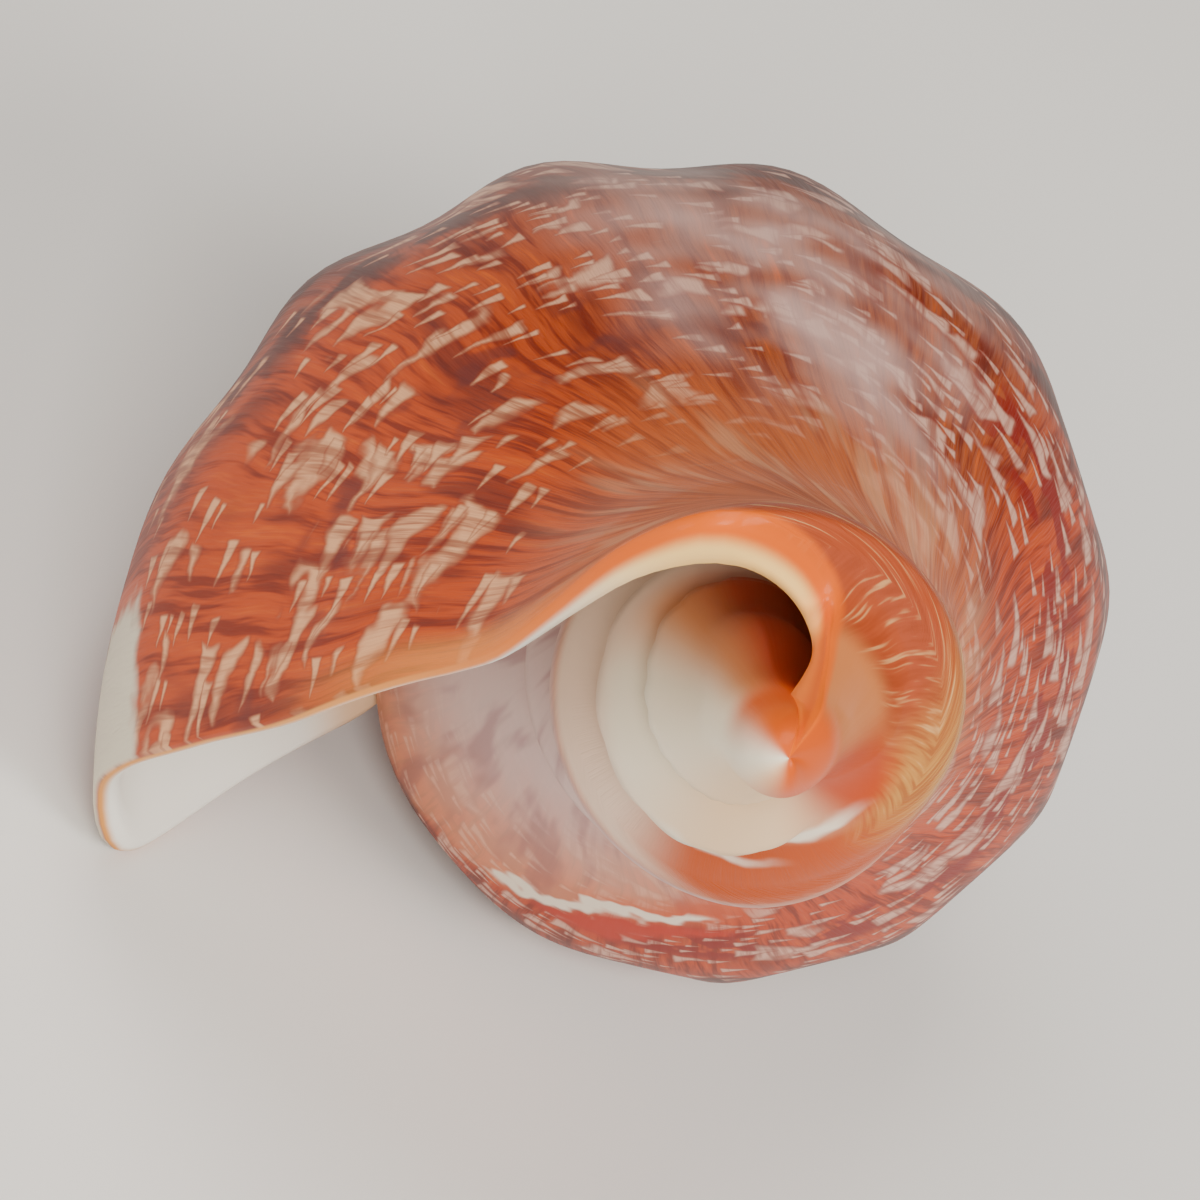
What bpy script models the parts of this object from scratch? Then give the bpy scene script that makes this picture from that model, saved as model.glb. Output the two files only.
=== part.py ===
"""A volute sea shell, modelled the way the animal grew it.

The lip of the shell is one curve in space.  Every earlier lip was the same curve, smaller and
further back round the axis, so the outside is that curve carried back along a spiral.  The
hollow is lined the same way, from the lip's inner edge.  The two meet at the lip and on the
pillar in the middle, so the shell is one closed wall round one winding hollow.

While it grows, the axis is Z with the apex at the top, +X points at the outer lip, and angles
turn from +X to +Y.  Places are (distance from the axis, angle, height) in millimetres and
degrees, and "turn" counts whorls back from the lip.  The shell is laid down at the end.
"""

import math

import bmesh
import bpy
from mathutils import Matrix, Vector

# Driving dimensions, in millimetres and degrees
LENGTH = 76.0  # apex to the tip of the pillar
WHORL_GROWTH = 1.72  # each whorl is this much larger than the one before
FLARE = 0.14  # how much the lip spreads beyond the spiral
FLARE_TURNS = 0.115
KNOBS_PER_TURN = 11
KNOB_ANGLE = 40.0  # where one knob stands
KNOB_HEIGHT = 0.5
PLAITS = (36.2, 44.5, 51.5, 56.0)  # how far down the pillar each fold starts
PLAIT_HEIGHT = 0.9
TURNS = 3.5  # from the lip back to the first whorl
CALLUS = 0.8  # how thick the glaze lies on the wall inside the mouth
HOLLOW_TURNS = 1.1  # how far in the hollow goes
COLUMNS = 42  # growth lines per turn
RESTING = (-46.576, -27.913, 34.0)  # pitch, roll and yaw that lay it on apex, shoulder and lip

# The lip from the seam down to the tip: distance, angle, height, and the rows up to the next
LIP = (
    (14.0, -13.0, -17.2, 2),
    (18.0, -16.0, -20.2, 2),
    (22.0, -19.3, -23.4, 2),
    (24.2, -19.0, -26.4, 1),
    (24.08, -13.0, -29.584, 2),
    (22.9, -9.5, -36.0, 2),
    (20.0, -6.6, -43.0, 2),
    (16.0, -1.9, -51.0, 2),
    (12.4, 8.5, -58.5, 1),
    (10.8, 17.6, -62.5, 1),
    (9.86, 33.0, -66.0, 1),
    (9.7, 55.0, -70.0, 1),
    (9.25, 80.0, -72.0, 3),
    (6.36, 109.5, -68.5, 3),
    (4.5, 116.0, -70.5, 3),
    (3.0, 122.0, -72.8, 3),
    (1.9, 128.0, -74.8, 4),
    (0.0, 130.0, -76.0, 0),
)
# The lip's inner edge at the same points, from the second on; it ends on the pillar
INNER_LIP = (
    (13.6, -13.0, -19.5),
    (16.9, -16.0, -22.0),
    (20.6, -19.0, -25.2),
    (22.4, -18.7, -27.4),
    (22.2, -13.0, -30.0),
    (21.1, -9.5, -35.7),
    (18.3, -6.6, -42.4),
    (14.3, -1.9, -50.3),
    (10.8, 8.5, -57.6),
    (9.2, 18.0, -61.5),
    (8.3, 33.0, -65.2),
    (7.9, 54.0, -69.0),
    (7.1, 77.0, -70.6),
    (4.7, 105.0, -68.4),
    (3.6, 113.0, -69.0),
    (2.7, 111.0, -69.8),
    (2.0, 104.0, -70.5),
)
SEAM_POINT = 4  # the next whorl's seam runs along this point of the lip
RIDGE_POINT = 12  # the ridge that the notch leaves
PILLAR_POINT = 16  # where the lining meets the pillar
PILLAR_SHARE = 0.84  # how far down the pillar that is


def row_of(point):
    return sum(entry[3] for entry in LIP[:point])


SEAM_ROW = row_of(SEAM_POINT)
RIDGE_ROW = row_of(RIDGE_POINT)
PILLAR_ROW = row_of(PILLAR_POINT)
TIP_ROW = row_of(len(LIP) - 1)


def ease(value, start, end):
    t = min(max((value - start) / (end - start), 0.0), 1.0)
    return t * t * (3.0 - 2.0 * t)


def lip_point(row, line=LIP):
    """A smooth curve through the points of the lip, or of its inner edge, at any row."""
    last = len(line) - 1
    point = 0
    while point < last - 1 and row > row_of(point + 1):
        point += 1
    t = (row - row_of(point)) / LIP[point][3]
    ends = [line[min(max(point + step, 0), last)][:3] for step in (-1, 0, 1, 2)]
    found = []
    for a, b, c, d in zip(*ends):
        found.append(
            b + 0.5 * t * (c - a + t * (2 * a - 5 * b + 4 * c - d + t * (3 * (b - c) + d - a)))
        )
    return found


def shrink(turn):
    return WHORL_GROWTH**-turn


def flare(row, turn):
    spread = ease(row, 0, 4) * (1.0 - ease(row, row_of(7), row_of(9)))
    return 1.0 + FLARE * spread * math.exp(-max(turn, 0.0) / FLARE_TURNS)


def pillar_radius(height):
    above_tip = max(LENGTH + height, 0.0)
    return 2.0 * math.sqrt(1.0 - math.exp(-above_tip / 1.5)) + 0.000065 * above_tip**3


def knob(row, turn, angle):
    """How far a shoulder knob stands out here.  The first whorls have none."""
    across = math.exp(-(((row - row_of(3)) / 2.2) ** 2))
    uneven = 5.0 * math.sin(math.radians(2.0 * (angle - 55.0)))
    wave = math.cos(math.radians((angle + uneven - KNOB_ANGLE) * KNOBS_PER_TURN))
    grown = ease(turn, 0.04, 0.16) * (1.0 - ease(turn, 2.3, 3.0))
    return KNOB_HEIGHT * across * wave * grown * shrink(turn)


def plait(angle, height, turn):
    """How far the pillar's folds stand out here."""
    wound = shrink((angle - 360.0) / 360.0)
    total = 0.0
    for start in PLAITS:
        off = (height / wound + start) / 1.7
        total += math.exp(-off * off)
    return PLAIT_HEIGHT * total * wound * ease(turn, 0.5, 0.85)


def outside(row, turn):
    """The outer surface, which goes on past the seam as the wall and pillar inside."""
    if row == SEAM_ROW and turn >= 1.0:
        return outside(0, turn - 1.0)
    scale = shrink(turn)
    radius, angle, height = lip_point(min(row, RIDGE_ROW))
    angle += 360.0 * turn
    radius *= scale * flare(row, turn)
    height *= scale
    radius += knob(row, turn, angle)
    if row <= SEAM_ROW:
        # The first whorl runs out to nothing against the seam below it
        seam = [value * shrink(turn) for value in LIP[SEAM_POINT][:3]]
        seam[1] = LIP[SEAM_POINT][1] + 360.0 * turn
        out = ease(turn, TURNS - 1.0, TURNS)
        return [a + (b - a) * out for a, b in zip((radius, angle, height), seam)]
    inner = ease(turn, 0.35, 0.8) * ease(row, SEAM_ROW, SEAM_ROW + 4)
    deep = shrink(max(turn - 1.0, 0.0))
    pillar = deep * pillar_radius(height / deep)
    radius += inner * 0.5 * (pillar - radius + math.hypot(pillar - radius, 0.6 * deep))
    glaze = ease(turn, 0.75, 0.95) * ease(row, SEAM_ROW, SEAM_ROW + 1.5)
    radius += CALLUS * deep * glaze * (1.0 - ease(row, SEAM_ROW + 3, RIDGE_ROW))
    if row > RIDGE_ROW:
        radius, angle, height = pillar_place(row, turn, radius, height)
    if 0.5 < turn and row < TIP_ROW:
        radius += plait(angle, height, turn)
    return radius, angle, height


def pillar_place(row, turn, ridge_radius, ridge_height):
    """Past the ridge, the notch's trace gives way to the smooth pillar."""
    deep = shrink(max(turn - 1.0, 0.0))
    if row <= PILLAR_ROW:
        part = PILLAR_SHARE * (row - RIDGE_ROW) / (PILLAR_ROW - RIDGE_ROW)
    else:
        part = PILLAR_SHARE + (1.0 - PILLAR_SHARE) * (row - PILLAR_ROW) / (TIP_ROW - PILLAR_ROW)
    radius, angle, height = lip_point(row)
    held = deep if turn > 1.0 else shrink(turn) + (1.0 - shrink(turn)) * part**1.5
    radius *= held
    height *= held
    round_pillar = ease(turn, 0.12, 0.5)
    smooth_height = ridge_height + (-LENGTH * deep - ridge_height) * part
    thicker = ridge_radius / deep / max(pillar_radius(ridge_height / deep), 0.01)
    thicker = 1.0 + (thicker - 1.0) * (1.0 - ease(part, 0.0, 0.45))
    smooth_radius = deep * pillar_radius(smooth_height / deep) * thicker
    radius += (smooth_radius - radius) * round_pillar
    height += (smooth_height - height) * round_pillar
    angle += (80.0 + 24.0 * part / PILLAR_SHARE - angle) * round_pillar
    return radius, angle + 360.0 * turn, height


def to_vector(place):
    radius, angle, height = place
    angle = math.radians(angle)
    return Vector((radius * math.cos(angle), radius * math.sin(angle), height))


def lining(row, turn):
    """The hollow's lining.  It starts on the wall below the seam and ends on the pillar."""
    if row == 0:
        return to_vector(outside(SEAM_ROW + 1, turn + 1.0))
    if row == PILLAR_ROW:
        return to_vector(outside(PILLAR_ROW, turn + 1.0))
    outer = lip_point(row)
    inner = lip_point(row, INNER_LIP)
    rim = 0.55 + 0.45 * ease(row, row_of(9), row_of(12))
    part = rim + (1.0 - rim) * ease(turn, 0.0, 0.06)
    radius, angle, height = [a + (b - a) * part for a, b in zip(outer, inner)]
    scale = shrink(turn)
    return to_vector((radius * scale * flare(row, turn), angle + 360.0 * turn, height * scale))


def sweep(bm, rows, first, last, place):
    """Draws one growth line and extrudes it back, column by column."""
    row_of_vertex = bm.verts.layers.int["row"]
    line = []
    for row in rows:
        vertex = bm.verts.new(place(row, first / COLUMNS))
        vertex[row_of_vertex] = row
        line.append(vertex)
    edges = [bm.edges.new(pair) for pair in zip(line, line[1:])]
    for column in range(first + 1, last + 1):
        grown = bmesh.ops.extrude_edge_only(bm, edges=edges)["geom"]
        fresh = {item for item in grown if isinstance(item, bmesh.types.BMVert)}
        for vertex in fresh:
            vertex.co = place(vertex[row_of_vertex], column / COLUMNS)
        edges = [e for e in bm.edges if e.verts[0] in fresh and e.verts[1] in fresh]


def skin(row, turn):
    return to_vector(outside(row, turn))


def lip_face(bm):
    """Joins the lip's outer edge to the edge of the lining."""
    outer = [bm.verts.new(skin(row, 0.0)) for row in range(TIP_ROW + 1)]
    inner = [bm.verts.new(lining(row, 0.0)) for row in range(PILLAR_ROW + 1)]
    inner += [bm.verts.new(skin(row, 1.0)) for row in range(PILLAR_ROW + 1, TIP_ROW)]
    inner.append(outer[-1])
    for row in range(TIP_ROW):
        corners = [outer[row], inner[row], inner[row + 1], outer[row + 1]]
        bm.faces.new(corners[:3] if row == TIP_ROW - 1 else corners)


def first_whorl(bm, ring):
    """Closes the top with the smooth dome that the shell began as."""
    sizes = (1.0, 0.9, 0.72, 0.5, 0.26, 0.0)
    drops = [1.0 - math.sqrt(1.0 - size * size) for size in sizes]
    for step in range(1, len(sizes)):
        grown = bmesh.ops.extrude_edge_only(bm, edges=ring)["geom"]
        fresh = {item for item in grown if isinstance(item, bmesh.types.BMVert)}
        narrower = sizes[step] / sizes[step - 1]
        shape = (narrower, narrower, drops[step] / drops[step - 1])
        bmesh.ops.scale(bm, verts=list(fresh), vec=shape)
        ring = [e for e in bm.edges if e.verts[0] in fresh and e.verts[1] in fresh]


def end_wall(bm, turn):
    """Closes the deep end of the hollow, from the lining across to the wall and pillar."""
    last = PILLAR_ROW - SEAM_ROW - 1
    inner = [bm.verts.new(lining(row, turn)) for row in range(PILLAR_ROW + 1)]
    wall = [bm.verts.new(skin(SEAM_ROW + 1 + step, turn + 1.0)) for step in range(1, last)]
    wall = [inner[0], *wall, inner[-1]]
    level = RIDGE_ROW - SEAM_ROW - 1
    rate = (last - level) / (PILLAR_ROW - level)
    across = [wall[min(row, round(level + (row - level) * rate))] for row in range(PILLAR_ROW + 1)]
    lines = [inner, inner, inner, across]
    for step in (1, 2):
        middle = [round_axis(a.co, b.co, step / 3.0) for a, b in zip(inner, across)]
        lines[step] = [bm.verts.new(place) for place in middle]
    for near, far in zip(lines, lines[1:]):
        for row in range(PILLAR_ROW):
            corners = [near[row], near[row + 1], far[row + 1], far[row]]
            bm.faces.new(list(dict.fromkeys(corners)))


def round_axis(a, b, part):
    """A place between two others, found by turning round the axis and not cutting across it."""
    first = math.atan2(a.y, a.x)
    swing = (math.atan2(b.y, b.x) - first + math.pi) % (2.0 * math.pi) - math.pi
    radius = math.hypot(a.x, a.y) * (1.0 - part) + math.hypot(b.x, b.y) * part
    return to_vector((radius, math.degrees(first + swing * part), a.z + (b.z - a.z) * part))


def open_edges(bm):
    return [edge for edge in bm.edges if len(edge.link_faces) == 1]


def grow_shell():
    bm = bmesh.new()
    bm.verts.layers.int.new("row")
    end = round(TURNS * COLUMNS)
    deep = round(HOLLOW_TURNS * COLUMNS)
    sweep(bm, range(SEAM_ROW + 1), 0, end, skin)
    sweep(bm, range(SEAM_ROW, TIP_ROW + 1), 0, COLUMNS, skin)
    sweep(bm, range(SEAM_ROW + 1, PILLAR_ROW + 1), COLUMNS, COLUMNS + deep, skin)
    sweep(bm, range(PILLAR_ROW + 1), 0, deep, lining)
    lip_face(bm)
    end_wall(bm, deep / COLUMNS)
    bmesh.ops.remove_doubles(bm, verts=bm.verts, dist=0.004)
    first_whorl(bm, open_edges(bm))
    bmesh.ops.remove_doubles(bm, verts=bm.verts, dist=0.004)
    bmesh.ops.recalc_face_normals(bm, faces=bm.faces)
    return bm


def shell_material():
    material = bpy.data.materials.new("shell")
    material.use_nodes = True
    shader = material.node_tree.nodes["Principled BSDF"]
    shader.inputs["Base Color"].default_value = (0.6, 0.2, 0.09, 1.0)
    shader.inputs["Roughness"].default_value = 0.3
    shader.inputs["Metallic"].default_value = 0.0
    return material


def lay_down(mesh):
    """Turns the shell from its growth frame to where it rests, at real size in metres."""
    to_world = Matrix(((-1.0, 0.0, 0.0), (0.0, 0.0, 1.0), (0.0, 1.0, 0.0)))
    pitch, roll, yaw = [math.radians(angle) for angle in RESTING]
    turn = Matrix.Rotation(yaw, 3, "Z") @ Matrix.Rotation(roll, 3, "Y")
    turn = turn @ Matrix.Rotation(pitch, 3, "X") @ to_world
    mesh.transform((turn * 0.001).to_4x4())
    low = [min(v.co[axis] for v in mesh.vertices) for axis in range(3)]
    high = [max(v.co[axis] for v in mesh.vertices) for axis in range(3)]
    centre = Vector(((low[0] + high[0]) / 2.0, (low[1] + high[1]) / 2.0, low[2]))
    mesh.transform(Matrix.Translation(-centre))


def main():
    for old in list(bpy.data.objects):
        bpy.data.objects.remove(old)
    bm = grow_shell()
    mesh = bpy.data.meshes.new("volute_shell")
    bm.to_mesh(mesh)
    bm.free()
    lay_down(mesh)
    mesh.shade_smooth()
    mesh.materials.append(shell_material())
    shell = bpy.data.objects.new("volute_shell", mesh)
    bpy.context.scene.collection.objects.link(shell)


main()
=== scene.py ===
import math

import bmesh
import bpy
from mathutils import Matrix, Vector


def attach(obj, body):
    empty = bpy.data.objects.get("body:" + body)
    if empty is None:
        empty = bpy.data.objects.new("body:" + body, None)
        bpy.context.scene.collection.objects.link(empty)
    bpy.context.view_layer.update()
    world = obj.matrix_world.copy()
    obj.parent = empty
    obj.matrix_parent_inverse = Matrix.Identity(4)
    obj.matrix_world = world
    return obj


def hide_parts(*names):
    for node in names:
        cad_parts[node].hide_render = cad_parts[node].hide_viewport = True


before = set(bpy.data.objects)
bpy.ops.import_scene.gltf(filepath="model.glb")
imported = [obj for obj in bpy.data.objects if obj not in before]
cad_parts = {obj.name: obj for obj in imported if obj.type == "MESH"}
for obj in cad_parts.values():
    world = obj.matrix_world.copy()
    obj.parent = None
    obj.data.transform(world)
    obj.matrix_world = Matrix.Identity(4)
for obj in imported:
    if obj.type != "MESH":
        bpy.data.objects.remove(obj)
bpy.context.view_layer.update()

# Where the shell lies.  It grows with its axis along Z, apex up, in millimetres.  It is then
# laid on its apex, its shoulder and the corner of its lip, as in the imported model.
PITCH, ROLL, YAW = -46.576, -27.913, 34.0
CENTRE = Vector((-0.0007693, -0.0285939, -0.0012126))
turned = Matrix.Rotation(math.radians(YAW), 3, "Z") @ Matrix.Rotation(math.radians(ROLL), 3, "Y")
turned = turned @ Matrix.Rotation(math.radians(PITCH), 3, "X")
turned = turned @ Matrix(((-1.0, 0.0, 0.0), (0.0, 0.0, 1.0), (0.0, 1.0, 0.0)))
lay_down = Matrix.Translation(-CENTRE) @ (turned * 0.001).to_4x4()

# The camera looks at the shell's front end nearly along its axis, from a little to one side,
# through a long lens as the photo does.  Directions here are in the growth frame.
AIM = Vector((0.0, 0.0, -25.0))  # a place on the shell's axis
AIM_IN_VIEW = Vector((4.45, -1.7, -375.0))  # how far right, up and back from the eye it lies
forward = Vector((-3.0, -4.7, 55.0)).normalized()
right = Vector((-1.0, 0.0, 0.0))
right = (right - forward * right.dot(forward)).normalized()
down = forward.cross(right)
in_view = Matrix((right, -down, -forward))
eye = AIM - in_view.transposed() @ AIM_IN_VIEW
camera_data = bpy.data.cameras.new("camera")
camera_data.sensor_width = 36.0
camera_data.lens = 255.0
camera_data.clip_start = 0.01
camera = bpy.data.objects.new("camera", camera_data)
bpy.context.scene.collection.objects.link(camera)
camera.matrix_world = Matrix.Translation(lay_down @ eye) @ (
    turned @ in_view.transposed()
).to_4x4()
bpy.context.scene.camera = camera

# The shell itself: one wall of glossy shell matter.  The lip is a curve that is extruded back
# along a shrinking spiral for the outside and again for the hollow's lining, and the two
# meet on a rounded rim.  Places are distance from the axis, angle and height.
WHORL_GROWTH = 1.72  # each whorl is this much larger than the one before
LENGTH = 76.0
TURNS = 3.5
HOLLOW_TURNS = 1.1
FINE = 4  # steps drawn for each row of the lip's table
COLUMNS = 160  # growth lines per turn
FLARE = 0.14  # how far the lip turns out, and over how many turns that fades
FLARE_TURNS = 0.115
KNOBS_PER_TURN = 11
KNOB_ANGLE = 40.0
KNOB_HEIGHT = 0.5
KNOB_ROWS = 2.2
PLAITS = ((36.2, 1.2), (44.5, 1.5), (51.5, 1.4), (56.0, 1.0))  # place down the pillar, height
PLAIT_ABOVE, PLAIT_BELOW = 0.7, 3.2  # a fold is steep towards the apex and slopes away from it
PLAIT_GROOVE = 0.4
PILLAR_TIP = 2.0  # the pillar's radius near its end, how soon it rounds off, how it widens
PILLAR_ROUNDING = 1.5
PILLAR_WIDENING = 0.000065
PILLAR_SWELLING, SWELLING_PLACE, SWELLING_REACH = 1.3, 57.0, 5.0
PILLAR_ANGLE, PILLAR_TWIST = 80.0, 24.0
CALLUS = 0.8  # thickness of the glaze that the mouth lays on the whorl before
RIM_SHARE = 0.55  # the lip's edge is thinner than the wall behind it
# The lip's outside, from the seam to the tip: distance from the axis, angle, height, rows drawn
LIP = (
    (14.0, -13.0, -17.2, 2),
    (18.0, -16.0, -20.2, 2),
    (22.0, -19.3, -23.4, 2),
    (24.2, -19.0, -26.4, 1),
    (24.08, -13.0, -29.584, 2),
    (22.9, -9.5, -36.0, 2),
    (20.0, -6.6, -43.0, 2),
    (16.0, -1.9, -51.0, 2),
    (12.4, 8.5, -58.5, 1),
    (10.8, 17.6, -62.5, 1),
    (9.86, 33.0, -66.0, 1),
    (9.7, 55.0, -70.0, 1),
    (9.25, 80.0, -72.0, 3),
    (6.36, 109.5, -68.5, 3),
    (4.5, 116.0, -70.5, 3),
    (3.0, 122.0, -72.8, 3),
    (1.9, 128.0, -74.8, 4),
    (0.0, 130.0, -76.0, 0),
)
# The lip's lining beside the same points
INNER_LIP = (
    (13.6, -13.0, -19.5),
    (16.9, -16.0, -22.0),
    (20.6, -19.0, -25.2),
    (22.4, -18.7, -27.4),
    (22.2, -13.0, -30.0),
    (21.1, -9.5, -35.7),
    (18.3, -6.6, -42.4),
    (14.3, -1.9, -50.3),
    (10.8, 8.5, -57.6),
    (9.2, 18.0, -61.5),
    (8.3, 33.0, -65.2),
    (7.9, 54.0, -69.0),
    (7.1, 77.0, -70.6),
    (4.7, 105.0, -68.4),
    (3.6, 113.0, -69.0),
    (2.7, 111.0, -69.8),
    (2.0, 104.0, -70.5),
)
PILLAR_SHARE = 0.84  # how much of the pillar lies between the ridge and the hollow's edge
ROWS = [sum(entry[3] for entry in LIP[:point]) for point in range(len(LIP))]
SEAM_ROW, RIDGE_ROW, PILLAR_ROW, TIP_ROW = [ROWS[point] for point in (4, 12, 16, 17)]


def ease(value, start, end):
    """0 before start and 1 after end, with a smooth rise between."""
    t = min(max((value - start) / (end - start), 0.0), 1.0)
    return t * t * (3.0 - 2.0 * t)


def lip_point(row, line=LIP):
    """A place on the smooth curve through the table's points."""
    last = len(line) - 1
    point = 0
    while point < last - 1 and row > ROWS[point + 1]:
        point += 1
    t = (row - ROWS[point]) / LIP[point][3]
    ends = [line[min(max(point + step, 0), last)][:3] for step in (-1, 0, 1, 2)]
    return [
        b + 0.5 * t * (c - a + t * (2 * a - 5 * b + 4 * c - d + t * (3 * (b - c) + d - a)))
        for a, b, c, d in zip(*ends)
    ]


def shrink(turn):
    return WHORL_GROWTH**-turn


def flare(row, turn):
    """How much wider the last of the whorl grows, out to the lip."""
    spread = ease(row, 0, 4) * (1.0 - ease(row, ROWS[7], ROWS[9]))
    return 1.0 + FLARE * spread * math.exp(-max(turn, 0.0) / FLARE_TURNS)


def pillar_radius(height):
    above_tip = max(LENGTH + height, 0.0)
    rounded = math.sqrt(1.0 - math.exp(-above_tip / PILLAR_ROUNDING))
    return PILLAR_TIP * rounded + PILLAR_WIDENING * above_tip**3


def knob(row, turn, angle):
    """The blunt knobs on the shoulder, not quite evenly spaced."""
    across = math.exp(-(((row - ROWS[3]) / KNOB_ROWS) ** 2))
    uneven = 5.0 * math.sin(math.radians(2.0 * (angle - 55.0)))
    wave = math.cos(math.radians((angle + uneven - KNOB_ANGLE) * KNOBS_PER_TURN))
    grown = ease(turn, 0.04, 0.16) * (1.0 - ease(turn, 2.3, 3.0))
    return KNOB_HEIGHT * across * wave * grown * shrink(turn)


def plait(angle, height, turn):
    """The folds that wind down the pillar, each with a groove on its side towards the apex."""
    wound = shrink((angle - 360.0) / 360.0)
    total = 0.0
    for start, height_of_fold in PLAITS:
        above = height / wound + start
        width = PLAIT_ABOVE if above > 0.0 else PLAIT_BELOW
        total += height_of_fold * math.exp(-((above / width) ** 2))
        total -= PLAIT_GROOVE * math.exp(-(((above - 1.5) / 0.8) ** 2))
    return total * wound * ease(turn, 0.36, 0.6)


def outside(row, turn):
    """The wall's outside, with the pillar and its folds where the coil turns inward."""
    if row == SEAM_ROW and turn >= 1.0:
        return outside(0, turn - 1.0)
    scale = shrink(turn)
    radius, angle, height = lip_point(min(row, RIDGE_ROW))
    angle += 360.0 * turn
    radius *= scale * flare(row, turn)
    height *= scale
    radius += knob(row, turn, angle)
    if row <= SEAM_ROW:
        seam = [value * scale for value in LIP[4][:3]]
        seam[1] = LIP[4][1] + 360.0 * turn
        out = ease(turn, TURNS - 1.0, TURNS)
        return [a + (b - a) * out for a, b in zip((radius, angle, height), seam)]
    # A whorl's inner side runs smoothly into the pillar, under the mouth's glaze
    inner = ease(turn, 0.35, 0.8) * ease(row, SEAM_ROW, SEAM_ROW + 4)
    deep = shrink(max(turn - 1.0, 0.0))
    pillar = deep * pillar_radius(height / deep)
    radius += inner * 0.5 * (pillar - radius + math.hypot(pillar - radius, 0.6 * deep))
    glaze = ease(turn, 0.75, 0.95) * ease(row, SEAM_ROW, SEAM_ROW + 1.5)
    radius += CALLUS * deep * glaze * (1.0 - ease(row, SEAM_ROW + 3, RIDGE_ROW))
    if row > RIDGE_ROW:
        radius, angle, height = pillar_place(row, turn, radius, height)
    if 0.36 < turn and row < TIP_ROW:
        radius += plait(angle, height, turn)
    return radius, angle, height


def pillar_place(row, turn, ridge_radius, ridge_height):
    """The notch, the canal's wall and the pillar's end, which rounds off as it winds in."""
    deep = shrink(max(turn - 1.0, 0.0))
    if row <= PILLAR_ROW:
        part = PILLAR_SHARE * (row - RIDGE_ROW) / (PILLAR_ROW - RIDGE_ROW)
    else:
        part = PILLAR_SHARE + (1.0 - PILLAR_SHARE) * (row - PILLAR_ROW) / (TIP_ROW - PILLAR_ROW)
    radius, angle, height = lip_point(row)
    held = deep if turn > 1.0 else shrink(turn) + (1.0 - shrink(turn)) * part**1.5
    radius *= held
    height *= held
    round_pillar = ease(turn, 0.12, 0.5)
    smooth_height = ridge_height + (-LENGTH * deep - ridge_height) * part
    thicker = ridge_radius / deep / max(pillar_radius(ridge_height / deep), 0.01)
    thicker = 1.0 + (thicker - 1.0) * (1.0 - ease(part, 0.0, 0.45))
    smooth_radius = deep * pillar_radius(smooth_height / deep) * thicker
    inward = (smooth_height / deep + SWELLING_PLACE) / SWELLING_REACH
    swelling = PILLAR_SWELLING * deep * math.exp(-inward * inward)
    smooth_radius += swelling * ease(turn, 0.8, 1.0)
    radius += (smooth_radius - radius) * round_pillar
    height += (smooth_height - height) * round_pillar
    angle += (PILLAR_ANGLE + PILLAR_TWIST * part / PILLAR_SHARE - angle) * round_pillar
    return radius, angle + 360.0 * turn, height


def to_vector(place):
    radius, angle, height = place
    angle = math.radians(angle)
    return Vector((radius * math.cos(angle), radius * math.sin(angle), height))


def skin(row, turn):
    return to_vector(outside(row, turn))


def lining(row, turn):
    """The hollow's wall.  It meets the outside of the whorl before at the seam and the pillar."""
    if row == 0:
        return skin(SEAM_ROW + 1, turn + 1.0)
    if row == PILLAR_ROW:
        return skin(PILLAR_ROW, turn + 1.0)
    outer = lip_point(row)
    inner = lip_point(row, INNER_LIP)
    thin = RIM_SHARE + (1.0 - RIM_SHARE) * ease(row, ROWS[9], ROWS[12])
    part = thin + (1.0 - thin) * ease(turn, 0.0, 0.06)
    radius, angle, height = [a + (b - a) * part for a, b in zip(outer, inner)]
    scale = shrink(turn)
    return to_vector((radius * scale * flare(row, turn), angle + 360.0 * turn, height * scale))


def rim(row, across):
    """The lip's edge, rounded over from the outside at 0 to the lining at 1."""
    if row == 0:
        return skin(SEAM_ROW + across, 1.0)
    outer = skin(row, 0.0)
    inner = lining(row, 0.0) if row <= PILLAR_ROW else skin(row, 1.0)
    onward = (outer - skin(row, 0.01)).normalized()
    bulge = 0.3 * (inner - outer).length * math.sin(math.pi * across)
    bulge *= ease(row, 0.0, 1.0) * (1.0 - ease(row, RIDGE_ROW, RIDGE_ROW + 3))
    return outer.lerp(inner, across) + onward * bulge


bm = bmesh.new()
step_of = bm.verts.layers.int.new("step")
turn_of = bm.verts.layers.float.new("turn")
side_of = bm.verts.layers.float.new("side")


def sweep(steps, columns, place):
    """Draws one growth line, then extrudes it from column to column."""
    line = []
    for step in steps:
        vertex = bm.verts.new()
        vertex[step_of] = step
        line.append(vertex)
    edges = [bm.edges.new(pair) for pair in zip(line, line[1:])]
    fresh = line
    for column in columns:
        if column != columns[0]:
            grown = bmesh.ops.extrude_edge_only(bm, edges=edges)["geom"]
            fresh = [item for item in grown if isinstance(item, bmesh.types.BMVert)]
            edges = [
                item
                for item in grown
                if isinstance(item, bmesh.types.BMEdge)
                and item.verts[0][turn_of] == item.verts[1][turn_of]
            ]
        for vertex in fresh:
            vertex.co, vertex[turn_of], vertex[side_of] = place(vertex[step_of] / FINE, column)


def grown_back(place, side):
    """Where a growth line's step goes in a given column, with its turn and its side."""
    return lambda row, column: (place(row, column / COLUMNS), column / COLUMNS, side)


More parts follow.
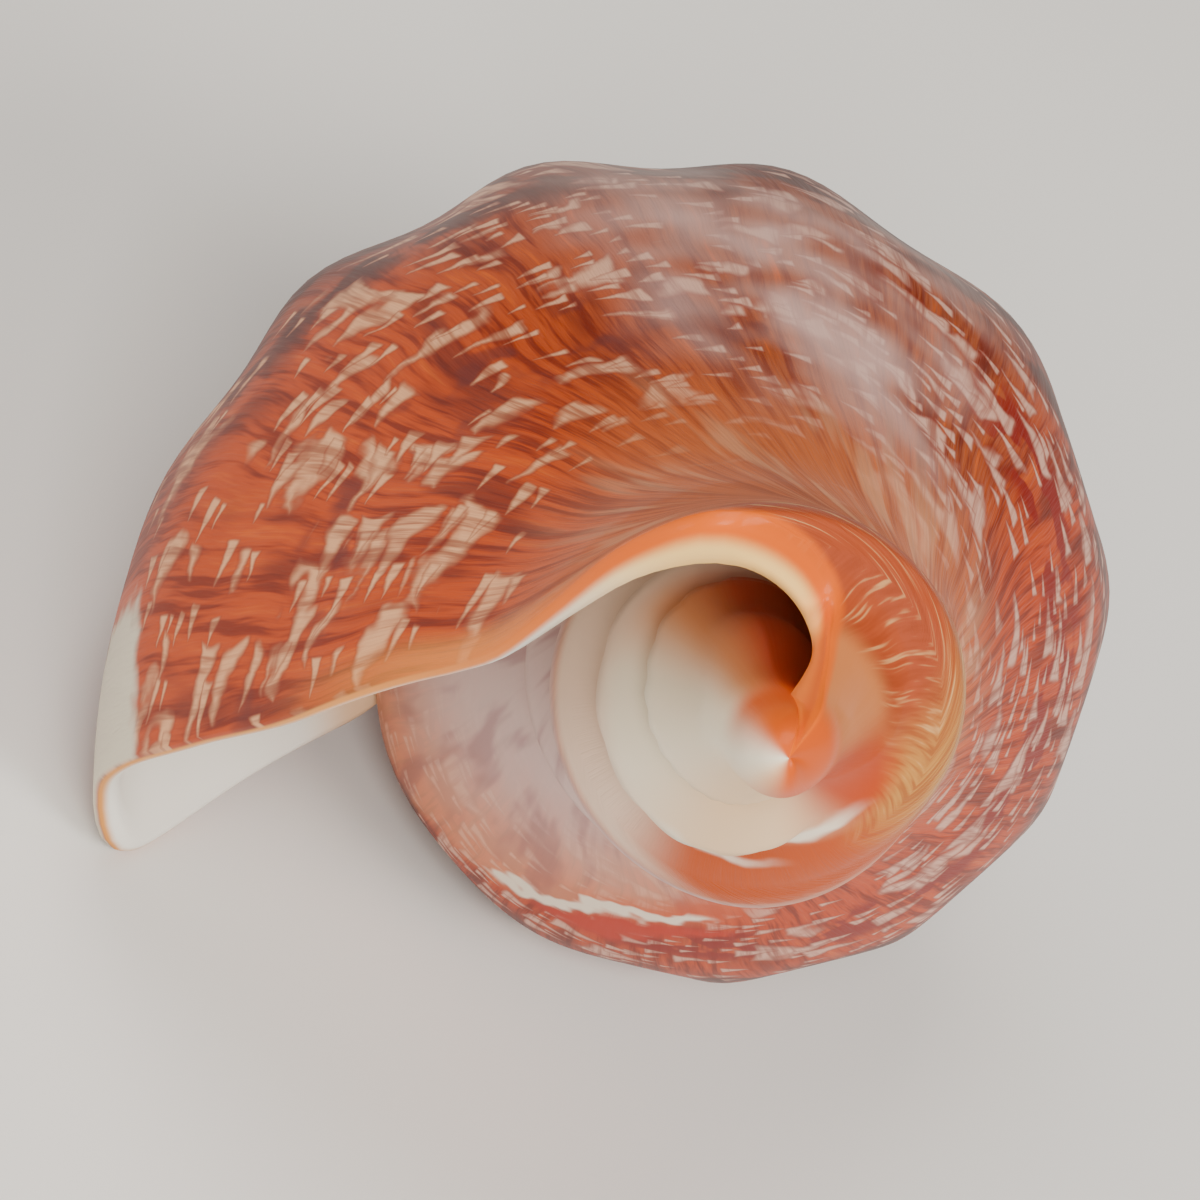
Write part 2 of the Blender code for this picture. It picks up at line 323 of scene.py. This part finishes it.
hollow_columns = round(HOLLOW_TURNS * COLUMNS)
seam_step, pillar_step, tip_step = SEAM_ROW * FINE, PILLAR_ROW * FINE, TIP_ROW * FINE
sweep(range(seam_step + 1), range(round(TURNS * COLUMNS) + 1), grown_back(skin, 0.0))
sweep(range(seam_step, tip_step + 1), range(COLUMNS + 1), grown_back(skin, 0.0))
sweep(
    range(seam_step + FINE, pillar_step + 1),
    range(COLUMNS, COLUMNS + hollow_columns + 1),
    grown_back(skin, 0.0),
)
sweep(range(pillar_step + 1), range(hollow_columns + 1), grown_back(lining, 1.0))
sweep(
    range(tip_step + 1),
    range(FINE + 1),
    lambda row, across: (rim(row, across / FINE), -across / FINE, across / FINE),
)

# The deep end of the hollow is closed by a wall between the lining and the pillar
WALL_COLUMNS = 3
DEEP = 1e3  # stands for the turn until the wall's places on the lip are mapped
wall_steps = pillar_step - seam_step - FINE
level = (RIDGE_ROW - SEAM_ROW - 1) * FINE
rate = (wall_steps - level) / (pillar_step - level)


def deep_wall(row, part):
    """From the lining at part 0, round the hollow to the pillar's side at 1."""
    near = lining(row, HOLLOW_TURNS)
    step = round(row * FINE)
    step = min(step, round(level + (step - level) * rate))
    if row in (0, PILLAR_ROW):
        return near
    far = skin(SEAM_ROW + 1 + step / FINE, HOLLOW_TURNS + 1.0)
    start = math.atan2(near.y, near.x)
    swing = (math.atan2(far.y, far.x) - start + math.pi) % (2.0 * math.pi) - math.pi
    radius = math.hypot(near.x, near.y) * (1.0 - part) + math.hypot(far.x, far.y) * part
    height = near.z + (far.z - near.z) * part
    return to_vector((radius, math.degrees(start + swing * part), height))


sweep(
    range(pillar_step + 1),
    range(WALL_COLUMNS + 1),
    lambda row, across: (
        deep_wall(row, across / WALL_COLUMNS),
        DEEP - across / WALL_COLUMNS,
        1.0,
    ),
)

# Each face corner keeps how many turns back it grew, how far down the lip it lies in
# millimetres, and which side of the wall it is on.  The colours are laid out by these.
lengths = [0.0]
for step in range(tip_step):
    piece = to_vector(lip_point((step + 1) / FINE)) - to_vector(lip_point(step / FINE))
    lengths.append(lengths[-1] + piece.length)
SAME_PLACE = 0.004  # vertices nearer than this are one
growth_map = bm.loops.layers.uv.new("growth")
side_map = bm.loops.layers.uv.new("side")
for face in bm.faces:
    for loop in face.loops:
        turn = loop.vert[turn_of]
        turn = HOLLOW_TURNS if turn > TURNS else max(turn, 0.0)
        loop[growth_map].uv = (turn, lengths[loop.vert[step_of]] / 100.0)
        loop[side_map].uv = (loop.vert[side_of], 0.0)
bmesh.ops.remove_doubles(bm, verts=bm.verts, dist=SAME_PLACE)

# The first whorl closes the top with the smooth dome that the shell began as, of ten rings
ring = [edge for edge in bm.edges if len(edge.link_faces) == 1]
sizes = [math.cos(math.radians(angle)) for angle in range(0, 90, 9)] + [0.0]
for before, after in zip(sizes, sizes[1:]):
    grown = bmesh.ops.extrude_edge_only(bm, edges=ring)["geom"]
    fresh = [item for item in grown if isinstance(item, bmesh.types.BMVert)]
    rise = (1.0 - math.sqrt(1.0 - after**2)) / max(1.0 - math.sqrt(1.0 - before**2), 1e-6)
    bmesh.ops.scale(bm, verts=fresh, vec=(after / before, after / before, rise))
    fresh = set(fresh)
    ring = [
        item
        for item in grown
        if isinstance(item, bmesh.types.BMEdge) and fresh.issuperset(item.verts)
    ]
# The dome has no growth lines of its own, so its colours are the oldest ones
DOME_FROM = -3.0
for face in bm.faces:
    for loop in face.loops:
        if loop[growth_map].uv.x == 0.0 and loop.vert.co.z > DOME_FROM:
            loop[growth_map].uv.x = TURNS
bmesh.ops.remove_doubles(bm, verts=bm.verts, dist=SAME_PLACE)
bmesh.ops.recalc_face_normals(bm, faces=bm.faces)

shell_mesh = bpy.data.meshes.new("shell_wall")
bm.to_mesh(shell_mesh)
bm.free()
shell_mesh.transform(lay_down)
shell_mesh.shade_smooth()
shell = bpy.data.objects.new("shell_wall", shell_mesh)
bpy.context.scene.collection.objects.link(shell)
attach(shell, "root")
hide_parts("volute_shell")

# The shell's colours, laid out in whorls back from the lip and millimetres down the lip:
# an orange ground with growth streaks and white tents, maroon blotches, a striped band behind
# the notch, a glazed wall beside the mouth, a cream pillar and an orange rim.
shell_material = bpy.data.materials.new("shell_matter")
shell_material.use_nodes = True
shell_mesh.materials.append(shell_material)
shell_tree = shell_material.node_tree
shell_shader = shell_tree.nodes["Principled BSDF"]


class Wire:
    """A socket in the shell's material.  Sums on it add the nodes that work them out."""

    def __init__(self, socket):
        self.socket = socket

    @staticmethod
    def node(kind, inputs, output=0, **settings):
        made = shell_tree.nodes.new("ShaderNode" + kind)
        for name, value in settings.items():
            setattr(made, name, value)
        for name, value in inputs.items():
            if isinstance(value, Wire):
                shell_tree.links.new(value.socket, made.inputs[name])
            else:
                made.inputs[name].default_value = value
        return Wire(made.outputs[output])

    def sum(self, operation, other=0.0, third=0.0):
        return Wire.node("Math", {0: self, 1: other, 2: third}, operation=operation)

    def __add__(self, other):
        return self.sum("ADD", other)

    __radd__ = __add__

    def __mul__(self, other):
        return self.sum("MULTIPLY", other)

    __rmul__ = __mul__

    def __sub__(self, other):
        return self.sum("SUBTRACT", other)

    def __rsub__(self, other):
        return Wire.node("Math", {0: other, 1: self}, operation="SUBTRACT")

    def __truediv__(self, other):
        return self.sum("DIVIDE", other)

    def __abs__(self):
        return self.sum("ABSOLUTE")

    def floor(self):
        return self.sum("FLOOR")

    def least(self, other):
        return self.sum("MINIMUM", other)

    def most(self, other):
        return self.sum("MAXIMUM", other)


def rising(value, low, high):
    """0 below low and 1 above high, or the other way round where low is above high."""
    inputs = {"Value": value, "From Min": low, "From Max": high}
    return Wire.node("MapRange", inputs, interpolation_type="SMOOTHSTEP")


def within(value, low, high, soft):
    """1 between low and high, with soft edges."""
    return rising(value, low - soft, low + soft) * rising(value, high + soft, high - soft)


def vector(x, y, z=0.0):
    return Wire.node("CombineXYZ", {0: x, 1: y, 2: z})


def noise(place, scale, detail=2.0, roughness=0.5):
    inputs = {"Vector": place, "Scale": scale, "Detail": detail, "Roughness": roughness}
    return Wire.node("TexNoise", inputs)


def paint(red, green, blue):
    """A colour as a screen shows it, made linear."""
    levels = [level / 255.0 for level in (red, green, blue)]
    return (*[((v + 0.055) / 1.055) ** 2.4 if v > 0.04 else v / 12.92 for v in levels], 1.0)


def over(below, colour, cover):
    """One colour laid over another, as thickly as cover says."""
    return Wire.node("Mix", {0: cover, 6: below, 7: colour}, output=2, data_type="RGBA")


def parts(value):
    return [Wire.node("SeparateXYZ", {0: value}, output=axis) for axis in range(3)]


# Where each spot grew: whorls back from the lip, millimetres down the lip, side of the wall
turn, length = parts(Wire.node("UVMap", {}, uv_map="growth"))[:2]
length = length * 100.0
side = parts(Wire.node("UVMap", {}, uv_map="side"))[0]
solid = Wire.node("TexCoord", {}, output=3)

# Unevenness, the streaks that run down the lip as the shell grows, and fine grooves
soft_noise = noise(solid, 90.0, 2.0) - 0.5
fine_noise = noise(solid, 420.0, 2.0) - 0.5
streaks = noise(vector(turn * 150.0 + soft_noise * 3.0, length * 0.08), 1.0, 3.0, 0.7)
broad_streaks = noise(vector(turn * 48.0 + soft_noise * 1.5, length * 0.09, 7.0), 1.0)
grooves = noise(vector(turn * 420.0 + soft_noise * 3.0, length * 0.25, 3.0), 1.0, 2.0, 0.6)

FULL_TURN = 6.2832


def tents(seed, width, reach, share):
    """White triangles in strips along the whorl, with their points towards the lip.

    Width and reach are the largest one's size in millimetres, and share is how many places
    hold one.  It returns the tents and the dark rims round them.
    """
    strip = (length + fine_noise * (1.1 * width) + soft_noise * 6.0) / width + seed * 0.37
    row = strip.floor()
    across = strip - row
    girth = (14.0 + 0.75 * width * row).least(31.5 - 0.385 * width * row)
    girth = girth.least(24.5).most(9.7)
    group = Wire.node("TexWhiteNoise", {"Vector": vector((row * 0.4).floor(), seed)})
    along = turn * FULL_TURN * girth + fine_noise * (0.55 * width)
    along = along / reach + group * 5.0 + soft_noise * 2.0
    cell = along.floor()
    along = along - cell
    mixed = Wire.node("TexWhiteNoise", {"Vector": vector(row, cell, seed)}, output=1)
    size, shift, chance = parts(mixed)
    size = 0.45 + 0.55 * size
    base = 0.95 - 0.3 * (shift * chance + 1.0 - chance) * (1.0 - size)
    point = base - 0.85 * size
    slope = (along - point) / (base - point)
    spread = 0.5 * size * slope - abs(across - 0.5 - (shift - 0.5) * (1.0 - size) * 0.8)
    spread = spread + (streaks - 0.5) * 0.3
    past = along - base
    begun = rising(slope, 0.0, 0.1)
    tent = rising(spread, -0.09, 0.18) * rising(past, 0.05, -0.04) * begun
    dark_rim = rising(spread, -0.14, 0.0) * rising(past, 0.06, 0.0) * begun
    chosen = rising(chance, share + 0.01, share - 0.01)
    return tent * chosen, dark_rim * chosen


# The ground, bright orange by the lip, fawn above the mouth and brick red on the far side,
# with dark and light growth streaks
ORANGE, FAWN, BRICK = paint(182, 64, 0), paint(152, 72, 36), paint(182, 60, 0)
UMBER, AMBER, RUST = paint(104, 20, 0), paint(208, 88, 0), paint(92, 22, 12)
ground = over(ORANGE, FAWN, rising(turn, 0.12, 0.28))
ground = over(ground, BRICK, rising(turn, 0.38, 0.48))
ground = over(ground, UMBER, rising(streaks, 0.46, 0.62) * 0.8)
ground = over(ground, AMBER, rising(streaks, 0.44, 0.28) * 0.7)
ground = over(ground, RUST, rising(broad_streaks, 0.52, 0.68) * 0.7)

# The shoulder is darker, and maroon blotches stand on it and in two rows below it
SHADE, MAROON = paint(96, 28, 16), paint(70, 14, 12)
PLUM, BLOOD = paint(98, 36, 32), paint(128, 14, 0)
blot = noise(vector(turn * 38.0, length * 0.28, 5.0), 1.0, 2.0)
at_shoulder = within(length, 15.0, 25.0, 2.5)
shoulder_row = at_shoulder * rising(blot, 0.4, 0.56) * rising(turn, 0.05, 0.14)
middle_row = within(length, 36.0, 42.0, 2.5) * rising(blot, 0.52, 0.64) * rising(turn, 0.4, 0.3)
red_row = within(length, 29.5, 36.0, 1.2) * rising(blot, 0.47, 0.53) * rising(turn, 0.36, 0.42)
darker = within(length, 15.0, 22.0, 4.0) * rising(turn, 0.06, 0.14)
ground = over(ground, SHADE, darker * 0.6)
ground = over(ground, MAROON, shoulder_row * 0.9)
ground = over(ground, PLUM, middle_row * 0.8)
ground = over(ground, BLOOD, red_row * 0.95)

# The tents, large, middling and small, thin out towards the notch and on the spire
share = 0.3 + 0.7 * noise(vector(turn * 9.0, length * 0.09, 11.0), 1.0, 1.0)
share = share * rising(length, 60.0, 46.0) * rising(turn, 3.2, 2.0)
share = share * (1.0 - 0.5 * at_shoulder)
TENT_BY_LIP, TENT_FAR_BACK, TENT_RIM = paint(230, 172, 126), paint(214, 168, 148), paint(126, 26, 4)
TENT_SIZES = ((1.0, 4.2, 7.0, 0.6), (2.0, 2.2, 4.2, 0.8), (3.0, 1.1, 2.4, 0.8))
tent_colour = over(TENT_BY_LIP, TENT_FAR_BACK, rising(turn, 0.12, 0.3))
pattern = ground
for seed, width, reach, part_of_share in TENT_SIZES:
    tent, dark_rim = tents(seed, width, reach, share * part_of_share)
    pattern = over(pattern, TENT_RIM, dark_rim * 0.55)
    pattern = over(pattern, tent_colour, tent * (0.86 - 0.6 * rising(streaks, 0.44, 0.64)))

# A pale veil over the top of the whorl: partly the shell's own whitish wash, partly a painted
# reflection of a broad soft light
VEIL_AND_REFLECTION = paint(210, 176, 168)
veil_and_reflection = rising(noise(vector(turn * 14.0, length * 0.12, 2.0), 1.0, 2.0), 0.35, 0.7)
veil_and_reflection = veil_and_reflection * within(turn, 0.23, 0.38, 0.05) * within(length, 20.0, 46.0, 8.0)
pattern = over(pattern, VEIL_AND_REFLECTION, veil_and_reflection * 0.8)

# Towards the notch the streaks take over, sooner on the older shell
TAN, NUT, SAND = paint(194, 100, 50), paint(148, 70, 40), paint(226, 160, 116)
near_notch = over(TAN, NUT, rising(streaks, 0.4, 0.66) * 0.7)
near_notch = over(near_notch, SAND, rising(broad_streaks, 0.5, 0.62) * 0.6)
nearer = length + 9.0 * rising(turn, 0.06, 0.2)
pattern = over(pattern, near_notch, rising(nearer, 50.0, 62.0) * 0.85)

# The band that the notch left: chevrons of brown, yellow, orange and cream
BAND_BROWN, BAND_YELLOW = paint(164, 72, 38), paint(190, 132, 62)
BAND_ORANGE, BAND_CREAM = paint(182, 72, 8), paint(222, 192, 170)
DARK_BAR, LIGHT_BAR = paint(146, 60, 26), paint(226, 182, 120)
chevron = turn + abs(length - 73.0) * 0.017
bars = noise(vector(chevron * 80.0 + soft_noise * 2.0, length * 0.2, 9.0), 1.0, 2.0, 0.7)
band = over(BAND_BROWN, BAND_YELLOW, rising(turn, 0.16, 0.3))
band = over(band, DARK_BAR, rising(bars, 0.46, 0.64) * 0.6)
band = over(band, LIGHT_BAR, rising(bars, 0.46, 0.3) * 0.6)
band = over(band, BAND_ORANGE, rising(turn, 0.32, 0.44))
band = over(band, BAND_CREAM, rising(turn, 0.57, 0.67))
pattern = over(pattern, band, rising(length, 66.5, 68.5))

# The first whorl, at the top, is worn to a pale tan
WORN_TAN = paint(200, 140, 100)
pattern = over(pattern, WORN_TAN, rising(turn, 3.0, 3.35))

# The glazed wall beside the mouth, over the pattern of the whorl before.  It ends in an
# orange callus, a red patch and a torn white edge.
PEACH, PEARL, MAUVE = paint(220, 144, 104), paint(208, 180, 176), paint(132, 76, 90)
CALLUS_ORANGE, PATCH_RED, TORN_WHITE = paint(196, 70, 14), paint(176, 36, 0), paint(232, 216, 196)
glaze_edge = turn + 0.0125 * (length - 48.0) - 0.62 + soft_noise * 0.1 + fine_noise * 0.03
glaze = rising(glaze_edge, 0.0, 0.05) * within(length, 19.0, 67.0, 1.0)
thick = rising(glaze_edge, 0.02, 0.28)
glaze_colour = over(PEACH, PEARL, thick)
glaze_colour = over(glaze_colour, MAUVE, rising(broad_streaks, 0.48, 0.66) * 0.45)
pattern = over(pattern, glaze_colour, glaze * (0.6 + 0.35 * thick))
callus = within(glaze_edge, 0.0, 0.07, 0.03) * within(length, 36.0, 60.0, 3.0)
pattern = over(pattern, CALLUS_ORANGE, callus * 0.8)
torn = glaze_edge + fine_noise * 0.09 + soft_noise * 0.1
patch = within(torn, -0.035, 0.02, 0.015) * within(length, 29.5, 36.0, 1.0)
pattern = over(pattern, PATCH_RED, patch)
chip = within(torn, 0.026, 0.05, 0.006) * within(length, 29.0, 38.5, 0.6)
pattern = over(pattern, TORN_WHITE, chip)

# The pillar: orange where it faces out, cream within the mouth, and darkening to caramel and
# red-brown deep inside, which is painted shade of the deep hollow
BUFF, TERRACOTTA, CREAM = paint(200, 120, 66), paint(178, 62, 10), paint(234, 200, 160)
IVORY, SHADED_CARAMEL, SHADED_CHESTNUT = paint(232, 220, 198), paint(206, 132, 84), paint(176, 58, 20)
TIP_ORANGE, FOLD_WHITE, DEEP_TAN = paint(206, 84, 10), paint(242, 232, 212), paint(196, 150, 118)
pillar = over(BUFF, TERRACOTTA, rising(turn, 0.12, 0.24))
pillar = over(pillar, CREAM, rising(turn, 0.34, 0.5))
pillar = over(pillar, IVORY, rising(turn, 0.55, 0.7))
# Painted shade: caramel, then red-brown, deeper in the hollow
pillar = over(pillar, SHADED_CARAMEL, rising(turn, 0.78, 0.92))
pillar = over(pillar, SHADED_CHESTNUT, rising(turn, 0.9, 1.02))
strip = rising(length, 82.5, 84.5) * rising(abs(turn - 0.66), 0.02, 0.24)
pillar = over(pillar, TIP_ORANGE, strip)
band_end = 77.0 - 3.0 * rising(turn, 0.12, 0.35)
pattern = over(pattern, pillar, rising(length - band_end, 0.0, 2.0))

# Two of the folds end outside the mouth in ragged white lines
ragged = length + fine_noise * 1.6 + soft_noise * 4.0
for lies, since in ((75.4, 0.38), (72.6, 0.52)):
    fold_end = within(ragged, lies - 0.35, lies + 0.35, 0.25) * within(turn, since, 0.62, 0.05)
    pattern = over(pattern, FOLD_WHITE, fold_end * 0.9)
deep = rising(turn, 1.0, 1.15)
pattern = over(pattern, DEEP_TAN, deep * within(length, 19.5, 73.0, 1.0))

# The worn flat on the lip's shoulder
WORN_CREAM = paint(214, 204, 184)
from_flat = length - 20.5
worn = turn + from_flat * from_flat * 0.0009 + fine_noise * 0.03 + soft_noise * 0.06
worn = rising(worn, 0.05, 0.038)
pattern = over(pattern, WORN_CREAM, worn * rising(side, 0.3, 0.0))

# The lip's edge, apricot to orange, and the white lining, which is cream and orange towards
# the canal and tan inside
APRICOT, RIM_ORANGE = paint(222, 150, 74), paint(224, 98, 6)
WHITE, CANAL_CREAM, CANAL_ORANGE = paint(236, 234, 226), paint(254, 212, 128), paint(236, 122, 26)
LINING_TAN, SEAM_PEACH = paint(196, 150, 120), paint(240, 190, 130)
edge_colour = over(APRICOT, RIM_ORANGE, rising(length, 40.0, 66.0))
near_rim = rising(turn + fine_noise * 0.004, 0.022, 0.006) * rising(length, 38.0, 56.0)
pattern = over(pattern, edge_colour, near_rim * 0.9)
inside = over(WHITE, CANAL_CREAM, rising(length, 54.0, 68.0))
inside = over(inside, CANAL_ORANGE, rising(length, 74.0, 79.0))
inside = over(inside, LINING_TAN, rising(turn, 0.1, 0.8))
inside = over(inside, SEAM_PEACH, rising(length, 5.0, 2.0) * 0.7)
lip = over(edge_colour, inside, rising(side, 0.3, 0.7))
outer_edge = 0.12 * rising(length, 50.0, 36.0)
pattern = over(pattern, lip, rising(side - outer_edge, 0.02, 0.15))

# The gloss, duller on the streaks and the worn flat, and the relief of the growth lines
shell_tree.links.new(pattern.socket, shell_shader.inputs["Base Color"])
roughness = 0.4 + 0.12 * streaks + 0.25 * worn
shell_tree.links.new(roughness.socket, shell_shader.inputs["Roughness"])
relief = grooves * 0.5 + streaks * 0.6
relief = relief * rising(length, 76.0, 70.0) * rising(side, 0.2, 0.0) * rising(turn, 0.85, 0.6)
bump = Wire.node("Bump", {"Height": relief, "Strength": 0.35, "Distance": 0.0004})
shell_tree.links.new(bump.socket, shell_shader.inputs["Normal"])
shell_shader.inputs["Coat Weight"].default_value = 0.12
shell_shader.inputs["Coat Roughness"].default_value = 0.08
shell_shader.inputs["Specular IOR Level"].default_value = 0.15

# The studio: a plain pale floor, soft warm lights from over the shell, from its right and
# from beside the camera, and a weaker one from its left
floor_mesh = bpy.data.meshes.new("floor")
floor_bm = bmesh.new()
bmesh.ops.create_grid(floor_bm, x_segments=2, y_segments=2, size=2.0)
floor_bm.to_mesh(floor_mesh)
floor_bm.free()
floor = bpy.data.objects.new("floor", floor_mesh)
bpy.context.scene.collection.objects.link(floor)
floor_material = bpy.data.materials.new("floor")
floor_material.use_nodes = True
floor_shader = floor_material.node_tree.nodes["Principled BSDF"]
floor_shader.inputs["Base Color"].default_value = (0.78, 0.77, 0.76, 1.0)
floor_shader.inputs["Roughness"].default_value = 0.9
floor_mesh.materials.append(floor_material)

world = bpy.data.worlds.new("studio")
bpy.context.scene.world = world
world.use_nodes = True
world.node_tree.nodes["Background"].inputs["Color"].default_value = (1.0, 0.98, 0.95, 1.0)
world.node_tree.nodes["Background"].inputs["Strength"].default_value = 0.12

middle = Vector((0.0, 0.0, 0.026))
WARM = (1.0, 0.95, 0.87)
# Places are to the right, up and back towards the camera from the shell, in metres
for name, place, width, power in (
    ("over", (0.05, 0.36, 0.34), 0.3, 1.6),
    ("left", (-0.42, 0.1, 0.3), 0.25, 0.9),
    ("right", (0.4, -0.14, 0.3), 0.25, 2.3),
    ("front", (0.06, -0.04, 0.5), 0.2, 2.1),
):
    light = bpy.data.lights.new(name, "AREA")
    light.energy = power
    light.size = width
    light.color = WARM
    lamp = bpy.data.objects.new(name, light)
    bpy.context.scene.collection.objects.link(lamp)
    spot = middle + (turned @ in_view.transposed()) @ Vector(place)
    lamp.matrix_world = Matrix.Translation(spot) @ (
        (spot - middle).to_track_quat("Z", "Y").to_matrix().to_4x4()
    )
